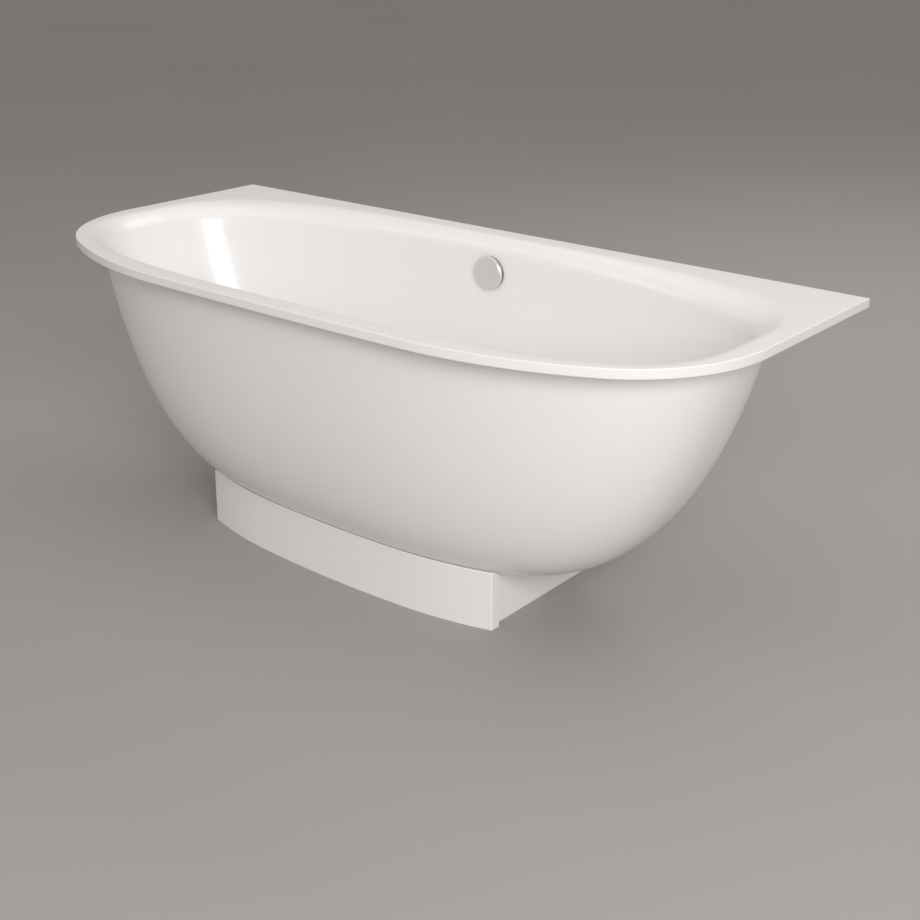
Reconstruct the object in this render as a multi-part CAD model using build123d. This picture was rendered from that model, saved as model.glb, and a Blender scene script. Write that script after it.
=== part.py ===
from build123d import *
import os
from math import asin, cos, degrees, pi, radians, sin, tan

# A back-to-wall bath, cast in one piece with its rim, on a low open-backed plinth.
# Millimetres. X is the length, -Y the front, +Z up. The floor is Z = 0, and the origin
# is under the middle of the bath's outline.

# Whole bath
length = 1700.0
width = 755.0
height = 620.0
running_gap = 0.05  # round a shaft that turns or slides
body_gap = 0.4      # between pieces that pass each other

# Rim slab: a straight back, square rear corners, and a front of three tangent arcs a side
rim_thickness = 18.5
rim_edge_round = 1.5
rim_bow_radius = 13700.0
rim_bow_half_chord = 336.0
rim_shoulder_radius = 830.0
rim_corner_radius = 296.0

# Bowl: superellipse sections that widen from a small flat bottom up to the rim
bowl_setback = 380.0        # middle of the bowl, from the wall
hull_bottom = 89.0
hull_top_half_length = 806.0
hull_top_half_depth = 334.0
hull_flat_half_length = 363.0
hull_flat_half_depth = 74.0
hull_squareness = 2.55      # 2 is an ellipse
end_flare = 1.21            # how long the ends go on widening towards the rim
end_swell = 2.56            # how full the ends are low down
side_flare = 1.64
side_swell = 3.99
wall = 22.0
floor_thickness = 27.0
opening_half_length = 814.0
opening_half_depth = 337.0
opening_squareness = 3.5
roll_drop = 40.0            # height of the soft roll from the deck into the bowl
roll_turn = radians(66)     # how far the roll turns before it runs straight out to the deck
deck_overrun = 4.0
hull_stations = 10
roll_stations = 3
sump_radius = 110.0
sump_depth = 3.0
seat_margin = 1.0           # round the flat seats cut in the bowl

# Plinth
plinth_height = 119.0
panel_half_width = 394.0
panel_thickness = 22.0
panel_bearer_gap = 23.5     # from the ends of the bearers to the back of the panel
panel_bow_radius = 2700.0
panel_bow_half_chord = 200.0
panel_end_radius = 882.0
panel_corner_round = 3.0
panel_edge_round = 2.0
side_inset = 11.0           # the side walls stand back from the ends of the panel
side_thickness = 20.0
plinth_wall_gap = 2.0
rail_height = 76.0
rail_thickness = 20.0
rail_wall_gap = 40.0
hull_joint = 0.5            # bedding joint between the bowl and the plinth
corner_block = 36.0
corner_block_lift = 8.0
corner_block_height = 60.0

# Bearers under the bowl, and their levelling feet
bearer_spacing = 460.0
bearer_width = 40.0
bearer_depth = 28.0
bearer_sheet = 2.5
bearer_overhang = 25.0      # beyond the middle of each foot
bedding_pad = 7.0
pad_length = 100.0
foot_spacing = 300.0
foot_travel = 10.0
stud_radius = 6.0
stud_top_margin = 3.0       # left under the bowl with the foot run all the way in
foot_radius = 23.0
foot_flange = 7.0
foot_hub_radius = 11.0
foot_hub = 11.0
foot_bevel = 1.5
weld_nut = 10.0
lock_nut = 6.0
nut_across_flats = 19.0

# Waste: the flange in the floor, its lifting plug and the body under it
waste_hole_radius = 26.5
flange_radius = 35.0
flange_seat_depth = 2.0
flange_seal = 1.5
flange_lip = 3.0
flange_neck_radius = 25.5
flange_throat_radius = 22.0
flange_neck_reach = 12.0    # neck below the underside of the shell
lip_bevel = 1.0
seat_mouth_radius = 28.0
seat_cone_depth = 7.5
guide_radius = 7.5
guide_depth = 8.0
guide_arm = 3.0
guide_arms = 3
plug_radius = 30.0
plug_crown = 3.5
plug_rim = 2.0
plug_seat_gap = 0.4
plug_lift = 10.0
plug_core_radius = 15.0
plug_core_lip = 2.0
plug_core_foot = 1.2
plug_shoulder = 2.4         # from the rim of the plug down to its sealing ring
plug_ring_depth = 2.2
stem_radius = 4.0
stem_bevel = 1.0
body_gasket = 3.0
body_flange_radius = 38.0
body_flange = 4.0
body_radius = 32.0
body_wall = 3.0
body_bottom = 30.0
waste_outlet_height = 46.0
waste_outlet_radius = 16.0
outlet_joint_x = 56.0
overflow_inlet_height = 60.0
inlet_joint = 50.0          # end of the overflow inlet, from the middle of the waste

# Lifting lever: a bell crank under the stem of the plug
lever_arm = 22.0
lever_tail = 14.0
lever_height = 56.0
lever_half_width = 3.0
lever_nose = 3.0
lever_web = 2.3             # half the width of its arms
lever_pin_radius = 2.0
lever_pin_overhang = 0.5
lug_thickness = 3.5
lug_width = 9.0

# Overflow: a turning knob in the back wall that works the plug by a cable
overflow_drop = 79.0        # axis of the overflow, below the deck
overflow_hole_radius = 26.5
overflow_face_setback = 69.5  # flat seat inside the bowl, from the wall
overflow_back_setback = 51.0  # flat seat behind the bowl, from the wall
knob_radius = 37.5
knob_face_bevel = 2.5
knob_thickness = 10.0
knob_shell = 2.5
knob_crown = 2.0
knob_hub_radius = 8.0
knob_gap = 3.5
spindle_radius = 3.0
spindle_end = 12.0          # from the wall
bearing_radius = 6.0
bearing_front = 18.0
drum_setback = 23.0
drum_radius = 8.0
drum_groove_radius = 5.0
drum_thickness = 7.0
clamp_radius = 35.5
clamp_thickness = 2.5
clamp_opening = 15.0
clamp_screw_circle = 20.5
screw_radius = 2.0
screw_head_radius = 4.0
screw_head = 2.0
screw_boss_radius = 4.0
overflow_seal = 1.5
overflow_gasket_thickness = 3.0
overflow_flange_radius = 37.0
overflow_flange = 5.0
overflow_body_radius = 30.0
overflow_body_wall = 3.0
overflow_body_back = 8.0    # back of the body, from the wall
overflow_spigot_reach = 26.0
neck_radius = 26.0
neck_length = 14.0

# Overflow hose and control cable
hose_radius = 13.0
hose_bore = 10.5
hose_setback = 26.0
hose_bend_height = 214.0
hose_bend_setback = 178.0
hose_nut_radius = 18.0
hose_nut_length = 20.0
nut_ribs = 8
grip_rib_radius = 1.7
cable_radius = 2.5
bend_share = 0.45           # of the shorter run that an arc takes up
gland_radius = 5.0
gland_length = 16.0
gland_boss_radius = 8.0
gland_boss_drop = 27.0      # below the axis of the overflow
cable_start_drop = 14.0
cable_exit_offset = 24.0
cable_straight = 62.0       # straight down out of the overflow
cable_bend = 66.0           # last corner, beside the middle of the waste
# The rest of the cable's line: across, as a share of the exit's offset; away from the wall,
# as a share of the bowl's setback; and down, as a share of its whole fall
cable_line = [
    (1.167, 0.068, 0.276),
    (1.583, 0.071, 0.418),
    (2.083, 0.082, 0.560),
    (2.583, 0.118, 0.696),
    (2.917, 0.203, 0.821),
    (3.167, 0.321, 0.917),
    (3.417, 0.474, 0.978),
    (3.667, 0.645, 1.000),
    (3.750, 0.803, 0.998),
    (3.667, 0.916, 1.000),
]

# Trap and outlet
trap_offset = 118.0
trap_radius = 42.0
trap_wall = 3.0
trap_top = 80.0
trap_rim = 12.0             # lower edge of the cup
trap_seal = 2.5
trap_cap_bottom = 5.0
trap_cap_overlap = 8.0
trap_cap_ribs = 12
trap_baffle_bottom = 24.0
trap_outlet_height = 54.0
nut_wall = 6.0
nut_length = 18.0
pipe_radius = 20.0
pipe_joint = 56.0           # end of the trap's outlet, from the middle of the trap
pipe_wall = 1.8
pipe_offset = 16.0          # outlet, beside the middle of the trap
pipe_wall_gap = 2.0
pipe_notch_gap = 4.0
pipe_spigot = 34.0          # free end, which goes into a socket in the wall
pipe_collar = 3.0           # stops the socket
pipe_collar_radius = 22.5

# Places that follow from the sizes above
wall_y = width / 2
front_y = -width / 2
bowl_y = wall_y - bowl_setback
rim_bottom = height - rim_thickness
basin_floor = hull_bottom + floor_thickness
bearer_length = foot_spacing + 2 * bearer_overhang
panel_setback = bowl_setback + bearer_length / 2 + panel_bearer_gap + panel_thickness
panel_y = wall_y - panel_setback
side_outer_x = panel_half_width - side_inset
side_inner_x = side_outer_x - side_thickness
bearer_top = hull_bottom - bedding_pad
stud_top = hull_bottom - stud_top_margin - foot_travel
flange_seat = basin_floor - sump_depth - flange_seat_depth
flange_bottom = hull_bottom - flange_neck_reach
body_top = hull_bottom - body_gasket
body_inner_radius = body_radius - body_wall
lever_swing = asin(plug_lift / 2 / lever_arm)  # each way from level
lever_x = -lever_arm * cos(lever_swing)
lever_nose_height = lever_height - plug_lift / 2
stem_bottom = lever_nose_height + lever_nose + body_gap
plug_bottom = flange_seat + flange_seal + flange_lip + plug_seat_gap
plug_core_bottom = plug_bottom - plug_shoulder - plug_ring_depth - plug_core_foot
guide_bottom = flange_bottom + body_wall
overflow_height = height - overflow_drop
overflow_body_front = overflow_back_setback - overflow_gasket_thickness
neck_front = overflow_body_front + neck_length
clamp_back = overflow_face_setback + overflow_seal
knob_back = clamp_back + clamp_thickness + knob_gap
knob_front = knob_back + knob_thickness
trap_pipe_x = trap_offset + pipe_offset
hose_top = overflow_height - overflow_body_radius - overflow_spigot_reach
cable_gland_height = lever_height + lever_tail


# Shared forms

def tube(outer, inner, bottom, top):
    """A ring or tube standing on Z."""
    long = top - bottom
    return Pos(0, 0, (bottom + top) / 2) * (Cylinder(outer, long) - Cylinder(inner, 3 * long))


def rod(radius, bottom, top):
    return Pos(0, 0, (bottom + top) / 2) * Cylinder(radius, top - bottom)


def turned(outline):
    """A solid turned round Z from (radius, height) corners."""
    corners = [(r, 0, z) for r, z in outline]
    return revolve(make_face(Polyline(corners, close=True)), Axis.Z)


def block(x0, x1, y0, y1, z0, z1):
    return Pos((x0 + x1) / 2, (y0 + y1) / 2, (z0 + z1) / 2) * Box(x1 - x0, y1 - y0, z1 - z0)


def ribbed_nut(outer, inner, bottom, top, ribs):
    """A hand-tightened union nut with grip ribs."""
    nut = rod(outer, bottom, top)
    for rib in PolarLocations(outer, ribs):
        nut += rib * rod(grip_rib_radius, bottom, top)
    return nut - rod(inner, bottom, top)


def dome_arc(radius, rim, top):
    """Half the arc of a shallow dome, from its edge up to its crown on the axis."""
    return ThreePointArc((radius, 0, rim), (0, 0, top), (-radius, 0, rim)).trim(0, 0.5)


def along_y(part, x, y, z):
    """Lays a part made on Z so that it runs towards the wall from (x, y, z)."""
    return Pos(x, y, z) * Rot(-90, 0, 0) * part


def along_x(part, x, y, z):
    return Pos(x, y, z) * Rot(0, 90, 0) * part


def at_waste(part):
    return Pos(0, bowl_y, 0) * part


def at_overflow(part):
    """Places a part made on Z, where z is the distance from the wall."""
    return Pos(0, wall_y, overflow_height) * Rot(90, 0, 0) * part


def bowed_half(start_y, arcs):
    """Tangent arcs from the middle of the front round towards the wall, each (radius, degrees)."""
    edges = []
    point = (0, start_y)
    heading = (1, 0)
    for radius, turn in arcs:
        arc = JernArc(start=point, tangent=heading, radius=radius, arc_size=turn)
        edges.append(arc)
        point = arc @ 1
        heading = arc % 1
    return edges


def mirrored_face(half):
    """A face from the edges of its right half and their mirror images."""
    return make_face(half + [edge.mirror(Plane.YZ) for edge in half])


# Bath shell

def rim_outline():
    bow = degrees(asin(rim_bow_half_chord / rim_bow_radius))
    reach = length / 2 - rim_bow_half_chord - rim_corner_radius
    reach += rim_shoulder_radius * sin(radians(bow))
    shoulder = degrees(asin(reach / (rim_shoulder_radius - rim_corner_radius))) - bow
    corner = 90 - bow - shoulder
    front = bowed_half(
        front_y,
        [(rim_bow_radius, bow), (rim_shoulder_radius, shoulder), (rim_corner_radius, corner)],
    )
    end = Line(front[-1] @ 1, (length / 2, wall_y))
    back = Line(end @ 1, (0, wall_y))
    return mirrored_face(front + [end, back])


def oval(half_length, half_depth, squareness, z):
    """A superellipse section in four quarter curves, which loft quarter to quarter."""
    steps = 6
    power = 2 / squareness
    quarter = []
    for step in range(steps + 1):
        angle = pi / 2 * step / steps
        across = half_length * max(cos(angle), 0) ** power
        along = half_depth * sin(angle) ** power
        quarter.append((across, along))
    quarter[-1] = (0, half_depth)
    edges = []
    for turn_x, turn_y in ((1, 1), (-1, 1), (-1, -1), (1, -1)):
        points = [(turn_x * x, bowl_y + turn_y * y, z) for x, y in quarter]
        ends = [(0, turn_y, 0), (-turn_x, 0, 0)]
        if turn_x * turn_y < 0:
            points = points[::-1]
            ends = [(turn_x, 0, 0), (0, -turn_y, 0)]
        edges.append(Spline(points, tangents=ends, tangent_scalars=(1, 1)))
    return Wire(edges)


def fullness(part_way, flare, swell):
    return (1 - (1 - part_way) ** flare) ** (1 / swell)


def bowl_size(z, bottom, top, top_half_length, top_half_depth):
    """Half length and half depth of the bowl at a height."""
    part_way = min(max((z - bottom) / (top - bottom), 0), 1)
    end = fullness(part_way, end_flare, end_swell)
    side = fullness(part_way, side_flare, side_swell)
    half_length = hull_flat_half_length + (top_half_length - hull_flat_half_length) * end
    half_depth = hull_flat_half_depth + (top_half_depth - hull_flat_half_depth) * side
    return half_length, half_depth


def station_heights(bottom, top):
    """Heights that crowd together low down, where the bowl turns under."""
    crowding = 1.3
    heights = []
    for step in range(hull_stations + 1):
        lift = (1 - cos(pi / 2 * step / hull_stations)) ** crowding
        heights.append(bottom + (top - bottom) * lift)
    return heights


def hull_solid(grow=0.0):
    """The outside of the bowl, filled. Growing it makes the cutter for what it beds on."""
    sections = []
    for z in station_heights(hull_bottom, rim_bottom):
        half_length, half_depth = bowl_size(
            z, hull_bottom, rim_bottom, hull_top_half_length, hull_top_half_depth
        )
        sections.append(oval(half_length + grow, half_depth + grow, hull_squareness, z - grow))
    return Solid.make_loft(sections)


def basin_solid():
    """The space inside the bowl, with the soft roll where it opens into the deck."""
    inside_length = hull_top_half_length - wall
    inside_depth = hull_top_half_depth - wall
    roll_bottom = height - roll_drop
    sections = []
    for z in station_heights(basin_floor, roll_bottom):
        half_length, half_depth = bowl_size(z, basin_floor, height, inside_length, inside_depth)
        sections.append(oval(half_length, half_depth, hull_squareness, z))
    rolled = []
    for step in range(1, roll_stations + 1):
        angle = roll_turn * step / roll_stations
        rolled.append((1 - cos(angle), roll_bottom + roll_drop * sin(angle)))
    last_out, last_z = rolled[-1]
    overrun = (1 - last_out) * deck_overrun / (height - last_z)
    rolled.append((1, height))
    rolled.append((1 + overrun, height + deck_overrun))
    for out, z in rolled:
        half_length, half_depth = bowl_size(z, basin_floor, height, inside_length, inside_depth)
        sections.append(
            oval(
                half_length + (opening_half_length - half_length) * out,
                half_depth + (opening_half_depth - half_depth) * out,
                hull_squareness + (opening_squareness - hull_squareness) * min(out, 1),
                z,
            )
        )
    return Solid.make_loft(sections)


def overflow_cuts():
    """The flat seats on both faces of the back wall and the hole between them."""
    front_seat = rod(knob_radius + seat_margin, overflow_face_setback, bowl_setback / 2)
    back_seat = rod(overflow_flange_radius + seat_margin, 0, overflow_back_setback)
    hole = rod(overflow_hole_radius, 0, bowl_setback / 2)
    return at_overflow(front_seat + back_seat + hole)


def waste_cuts():
    """The dished sump round the drain, the seat of the flange and the hole under it."""
    sump_bottom = basin_floor - sump_depth
    sump = turned(
        [
            (0, basin_floor + seat_margin),
            (sump_radius, basin_floor + seat_margin),
            (sump_radius, basin_floor),
            (flange_radius, sump_bottom),
            (0, sump_bottom),
        ]
    )
    seat = rod(flange_radius + body_gap, flange_seat, basin_floor)
    hole = rod(waste_hole_radius, 0, basin_floor)
    return at_waste(sump + seat + hole)


def bath_shell():
    slab = extrude(rim_outline(), rim_thickness)
    slab = fillet(slab.faces().filter_by(Axis.Z).edges(), rim_edge_round)
    shell = Pos(0, 0, rim_bottom) * slab + hull_solid() - basin_solid()
    return shell - waste_cuts() - overflow_cuts()


# Plinth

def panel_region(setback):
    """All that lies behind the bowed front line, seen from above."""
    bow = degrees(asin(panel_bow_half_chord / panel_bow_radius))
    reach = panel_half_width - panel_bow_half_chord
    reach += panel_end_radius * sin(radians(bow))
    end = degrees(asin(reach / panel_end_radius)) - bow
    front = bowed_half(wall_y - setback, [(panel_bow_radius, bow), (panel_end_radius, end)])
    side = Line(front[-1] @ 1, (panel_half_width, wall_y))
    back = Line(side @ 1, (0, wall_y))
    return mirrored_face(front + [side, back])


def behind_panel():
    return extrude(panel_region(panel_setback - panel_thickness), plinth_height)


def plinth_front_panel():
    outline = panel_region(panel_setback) - panel_region(panel_setback - panel_thickness)
    panel = extrude(outline, plinth_height)
    upright = panel.edges().filter_by(Axis.Z)
    ends = [upright.group_by(Axis.X)[0], upright.group_by(Axis.X)[-1]]
    corners = [end.sort_by(Axis.Y)[0] for end in ends]
    panel = fillet(corners, panel_corner_round)
    panel = fillet(panel.faces().sort_by(Axis.Z)[-1].edges(), panel_edge_round)
    return panel - hull_solid(hull_joint)


def plinth_right_side():
    board = block(
        side_inner_x, side_outer_x, panel_y, wall_y - plinth_wall_gap, 0, plinth_height
    )
    return (board & behind_panel()) - hull_solid(hull_joint)


def plinth_rear_rail():
    """Ties the side walls together behind the trap, notched over the outlet pipe."""
    front = wall_y - rail_wall_gap - rail_thickness
    back = wall_y - rail_wall_gap
    rail = block(-side_inner_x, side_inner_x, front, back, 0, rail_height)
    notch_radius = pipe_radius + pipe_notch_gap
    notch = rod(notch_radius, 0, rail_thickness)
    notch = along_y(notch, trap_pipe_x, front, trap_outlet_height)
    mouth = block(
        trap_pipe_x - notch_radius,
        trap_pipe_x + notch_radius,
        front,
        back,
        trap_outlet_height,
        rail_height,
    )
    return rail - notch - mouth


def corner_blocks():
    """Glue blocks in the four inside corners of the plinth."""
    rail_front = wall_y - rail_wall_gap - rail_thickness
    corners = []
    for corner_y, turn in ((panel_y + panel_end_fall(side_inner_x), 1), (rail_front, -1)):
        reach = corner_block + (panel_thickness if turn > 0 else 0)
        outline = make_face(
            Polyline(
                (side_inner_x, corner_y),
                (side_inner_x, corner_y + turn * reach),
                (side_inner_x - reach, corner_y),
                close=True,
            )
        )
        corners.append(Pos(0, 0, corner_block_lift) * extrude(outline, corner_block_height))
    right = (corners[0] & behind_panel()) + corners[1]
    return right + mirror(right, about=Plane.YZ)


def panel_end_fall(x):
    """How far the bowed line has fallen back from its middle, out near its end."""
    bow = asin(panel_bow_half_chord / panel_bow_radius)
    centre_x = panel_bow_half_chord - panel_end_radius * sin(bow)
    fall_to_arc = (panel_bow_radius - panel_end_radius) * (1 - cos(bow))
    return fall_to_arc + panel_end_radius * (1 - cos(asin((x - centre_x) / panel_end_radius)))


# Bearers and levelling feet

def foot_places():
    return [
        (turn_x * bearer_spacing / 2, bowl_y + turn_y * foot_spacing / 2)
        for turn_x in (-1, 1)
        for turn_y in (-1, 1)
    ]


def right_bearer():
    """A channel, open below, with a hole over each foot."""
    x = bearer_spacing / 2
    half = bearer_width / 2
    front = bowl_y - bearer_length / 2
    back = bowl_y + bearer_length / 2
    web = bearer_top - bearer_sheet
    channel = block(x - half, x + half, front, back, bearer_top - bearer_depth, bearer_top)
    channel -= block(x - half + bearer_sheet, x + half - bearer_sheet, front, back, 0, web)
    for turn_y in (-1, 1):
        hole = rod(stud_radius + body_gap, web - bearer_sheet, bearer_top + bearer_sheet)
        channel -= Pos(x, bowl_y + turn_y * foot_spacing / 2, 0) * hole
    return channel


def bedding_pads():
    """Resin beds between the flat under the bowl and the two bearers."""
    half = bearer_width / 2
    front = bowl_y - pad_length / 2
    back = bowl_y + pad_length / 2
    x = bearer_spacing / 2
    right = block(x - half, x + half, front, back, bearer_top, hull_bottom)
    return right + mirror(right, about=Plane.YZ)


def hex_nuts(bottom, top):
    """Four nuts, one on each stud, that the studs turn in."""
    nut = extrude(RegularPolygon(nut_across_flats / 2, 6, major_radius=False), top - bottom)
    nut = Pos(0, 0, bottom) * nut - rod(stud_radius + running_gap, bottom, top)
    nuts = [Pos(x, y, 0) * nut for x, y in foot_places()]
    return nuts[0] + nuts[1] + nuts[2] + nuts[3]


def foot(x, y):
    hub_top = foot_flange + foot_hub
    pad = turned(
        [
            (0, 0),
            (foot_radius - foot_bevel, 0),
            (foot_radius, foot_bevel),
            (foot_radius, foot_flange - foot_bevel),
            (foot_hub_radius, foot_flange + foot_bevel),
            (foot_hub_radius - foot_bevel, hub_top),
            (0, hub_top),
        ]
    )
    return Pos(x, y, 0) * (pad - rod(stud_radius, foot_flange, hub_top))


def stud(x, y):
    return Pos(x, y, 0) * rod(stud_radius, foot_flange, stud_top)


# Waste

def waste_flange():
    """The bright ring in the floor, its threaded neck and the guide for the stem."""
    lip_bottom = flange_seat + flange_seal
    lip_top = lip_bottom + flange_lip
    ring = turned(
        [
            (flange_throat_radius, flange_bottom),
            (flange_neck_radius, flange_bottom),
            (flange_neck_radius, lip_bottom),
            (flange_radius, lip_bottom),
            (flange_radius, lip_top - lip_bevel),
            (flange_radius - lip_bevel, lip_top),
            (seat_mouth_radius, lip_top),
            (flange_throat_radius, lip_top - seat_cone_depth),
        ]
    )
    guide = rod(guide_radius, guide_bottom, guide_bottom + guide_depth)
    for arm in PolarLocations(0, guide_arms):
        reach = (flange_throat_radius + flange_neck_radius) / 2
        guide += arm * block(
            0, reach, -guide_arm / 2, guide_arm / 2, guide_bottom, guide_bottom + guide_depth
        )
    guide -= rod(stem_radius + running_gap, flange_bottom, lip_top)
    return at_waste(ring + guide)


def waste_flange_seal():
    return at_waste(tube(flange_radius, waste_hole_radius, flange_seat, flange_seat + flange_seal))


def waste_plug():
    """A low domed cap over a core that holds the sealing ring."""
    rim_top = plug_bottom + plug_rim
    crown = dome_arc(plug_radius, rim_top, rim_top + plug_crown)
    ring_top = plug_bottom - plug_shoulder
    ring_bottom = ring_top - plug_ring_depth
    underside = Polyline(
        (0, 0, rim_top + plug_crown),
        (0, 0, plug_core_bottom),
        (plug_core_radius + plug_core_lip, 0, plug_core_bottom),
        (plug_core_radius + plug_core_lip, 0, ring_bottom),
        (plug_core_radius, 0, ring_bottom),
        (plug_core_radius, 0, ring_top),
        (plug_core_radius + plug_core_lip, 0, ring_top),
        (plug_core_radius + plug_core_lip, 0, plug_bottom),
        (plug_radius, 0, plug_bottom),
        (plug_radius, 0, rim_top),
    )
    return at_waste(revolve(make_face([crown, underside]), Axis.Z))


def plug_seal():
    """A rubber ring whose slanting edge follows the seat in the flange."""
    ring_top = plug_bottom - plug_shoulder
    ring_bottom = ring_top - plug_ring_depth
    slope = (seat_mouth_radius - flange_throat_radius) / seat_cone_depth
    seat_top = flange_seat + flange_seal + flange_lip
    top_radius = seat_mouth_radius - (seat_top - ring_top) * slope - body_gap
    bottom_radius = seat_mouth_radius - (seat_top - ring_bottom) * slope - body_gap
    return at_waste(
        turned(
            [
                (plug_core_radius, ring_bottom),
                (bottom_radius, ring_bottom),
                (top_radius, ring_top),
                (plug_core_radius, ring_top),
            ]
        )
    )


def plug_stem():
    return at_waste(
        turned(
            [
                (0, stem_bottom),
                (stem_radius - stem_bevel, stem_bottom),
                (stem_radius, stem_bottom + stem_bevel),
                (stem_radius, plug_core_bottom),
                (0, plug_core_bottom),
            ]
        )
    )


def waste_gasket():
    return at_waste(tube(body_flange_radius, waste_hole_radius, body_top, hull_bottom))


def waste_body():
    """The cup under the drain, with its outlet, the overflow inlet and the lever's lugs."""
    flange_under = body_top - body_flange
    neck_bottom = flange_bottom - body_gap
    cup = turned(
        [
            (0, body_bottom),
            (body_radius, body_bottom),
            (body_radius, flange_under),
            (body_flange_radius, flange_under),
            (body_flange_radius, body_top),
            (0, body_top),
        ]
    )
    outlet = along_x(rod(waste_outlet_radius, 0, outlet_joint_x), 0, 0, waste_outlet_height)
    inlet = along_y(rod(hose_radius, 0, inlet_joint), 0, 0, overflow_inlet_height)
    hollow = turned(
        [
            (0, body_bottom + body_wall),
            (body_inner_radius, body_bottom + body_wall),
            (body_inner_radius, neck_bottom),
            (flange_neck_radius, neck_bottom),
            (flange_neck_radius, body_top),
            (0, body_top),
        ]
    )
    outlet_bore = rod(waste_outlet_radius - body_wall, 0, outlet_joint_x)
    outlet_bore = along_x(outlet_bore, 0, 0, waste_outlet_height)
    inlet_bore = along_y(rod(hose_bore, 0, inlet_joint), 0, 0, overflow_inlet_height)
    gland_hole = along_x(rod(gland_radius, -body_radius, 0), 0, 0, cable_gland_height)
    body = cup + outlet + inlet - hollow - outlet_bore - inlet_bore - gland_hole
    lug_gap = lever_half_width + body_gap
    for turn in (-1, 1):
        near = turn * lug_gap
        far = turn * (lug_gap + lug_thickness)
        body += block(
            lever_x - lug_width / 2,
            lever_x + lug_width / 2,
            min(near, far),
            max(near, far),
            body_bottom + body_wall,
            lever_height + lug_width / 2,
        )
    lug_reach = lug_gap + lug_thickness
    pin_hole = rod(lever_pin_radius, -lug_reach, lug_reach)
    return at_waste(body - along_y(pin_hole, lever_x, 0, lever_height))


def lever_arm_outline(long, angle):
    """A round-ended arm from the pivot, at an angle above the way to the stem."""
    return Rot(0, 0, angle) * Pos(long / 2, 0) * SlotCenterToCenter(long, 2 * lever_web)


def lift_lever():
    """A bell crank: the nose lifts the stem when the cable pulls the upright tail."""
    swing = degrees(lever_swing)
    outline = lever_arm_outline(lever_arm, -swing) + lever_arm_outline(lever_tail, 90 - swing)
    outline += Circle(lever_pin_radius + body_wall)
    outline += Rot(0, 0, -swing) * Pos(lever_arm, 0) * Circle(lever_nose)
    outline -= Circle(lever_pin_radius + running_gap)
    crank = extrude(Plane.XZ * outline, lever_half_width, both=True)
    return at_waste(Pos(lever_x, 0, lever_height) * crank)


def lever_pin():
    half = lever_half_width + body_gap + lug_thickness + lever_pin_overhang
    return at_waste(along_y(rod(lever_pin_radius, -half, half), lever_x, 0, lever_height))


# Overflow, made on Z with z as the distance from the wall

def screw_places():
    return [Pos(turn * clamp_screw_circle, 0, 0) for turn in (-1, 1)]


def overflow_body():
    """The cup behind the bowl, its neck in the hole, and its spigot for the hose."""
    inside = overflow_body_radius - overflow_body_wall
    cup = rod(overflow_body_radius, overflow_body_back, overflow_body_front)
    cup += rod(overflow_flange_radius, overflow_body_front - overflow_flange, overflow_body_front)
    cup += rod(neck_radius, overflow_body_front, neck_front)
    cup += sideways(rod(hose_radius, 0, overflow_height - hose_top), 0)
    cup += sideways(rod(gland_boss_radius, cable_start_drop, gland_boss_drop), -cable_exit_offset)
    cup -= rod(inside, overflow_body_back + overflow_body_wall, overflow_body_front - overflow_flange)
    cup -= rod(neck_radius - overflow_body_wall, overflow_body_back + overflow_body_wall, neck_front)
    cup -= sideways(rod(hose_bore, 0, overflow_height - hose_top), 0)
    cup -= sideways(rod(gland_radius, cable_start_drop, gland_boss_drop), -cable_exit_offset)
    boss_bottom = overflow_body_front - overflow_flange
    for place in screw_places():
        cup += place * rod(screw_boss_radius, boss_bottom, neck_front)
        cup -= place * rod(screw_radius, boss_bottom, neck_front)
    cup += tube(bearing_radius, spindle_radius + running_gap, overflow_body_back, bearing_front)
    cup -= rod(spindle_radius + running_gap, spindle_end - body_gap, bearing_front)
    return at_overflow(cup)


def sideways(part, x):
    """Turns a part made on Z to hang down from the axis of the overflow, at a place across it."""
    return Pos(x, 0, hose_setback) * Rot(90, 0, 0) * part


def overflow_gasket():
    return at_overflow(
        tube(overflow_flange_radius, overflow_hole_radius, overflow_body_front, overflow_back_setback)
    )


def overflow_face_seal():
    return at_overflow(
        tube(clamp_radius, overflow_hole_radius, overflow_face_setback, clamp_back)
    )


def overflow_clamp_ring():
    ring = tube(clamp_radius, clamp_opening, clamp_back, clamp_back + clamp_thickness)
    for place in screw_places():
        ring -= place * rod(screw_radius, clamp_back, clamp_back + clamp_thickness)
    return at_overflow(ring)


def overflow_screws():
    head_bottom = clamp_back + clamp_thickness
    shank_end = overflow_body_front
    screws = []
    for place in screw_places():
        screw = rod(screw_radius, shank_end, head_bottom)
        screw += rod(screw_head_radius, head_bottom, head_bottom + screw_head)
        screws.append(place * screw)
    return at_overflow(screws[0] + screws[1])


def overflow_knob():
    """A shallow cup with a low domed face and a bevelled rim, which stands off the wall."""
    face_radius = knob_radius - knob_face_bevel
    face_rim = knob_front - knob_crown
    inner_radius = knob_radius - knob_shell
    face = dome_arc(face_radius, face_rim, knob_front)
    rest = Polyline(
        (face_radius, 0, face_rim),
        (knob_radius, 0, face_rim - knob_face_bevel),
        (knob_radius, 0, knob_back),
        (inner_radius, 0, knob_back),
        (inner_radius, 0, face_rim - knob_shell - knob_face_bevel),
        (knob_hub_radius, 0, face_rim - knob_shell),
        (knob_hub_radius, 0, knob_back),
        (0, 0, knob_back),
        (0, 0, knob_front),
    )
    return at_overflow(revolve(make_face([face, rest]), Axis.Z))


def knob_spindle():
    return at_overflow(rod(spindle_radius, spindle_end, knob_back))


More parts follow.
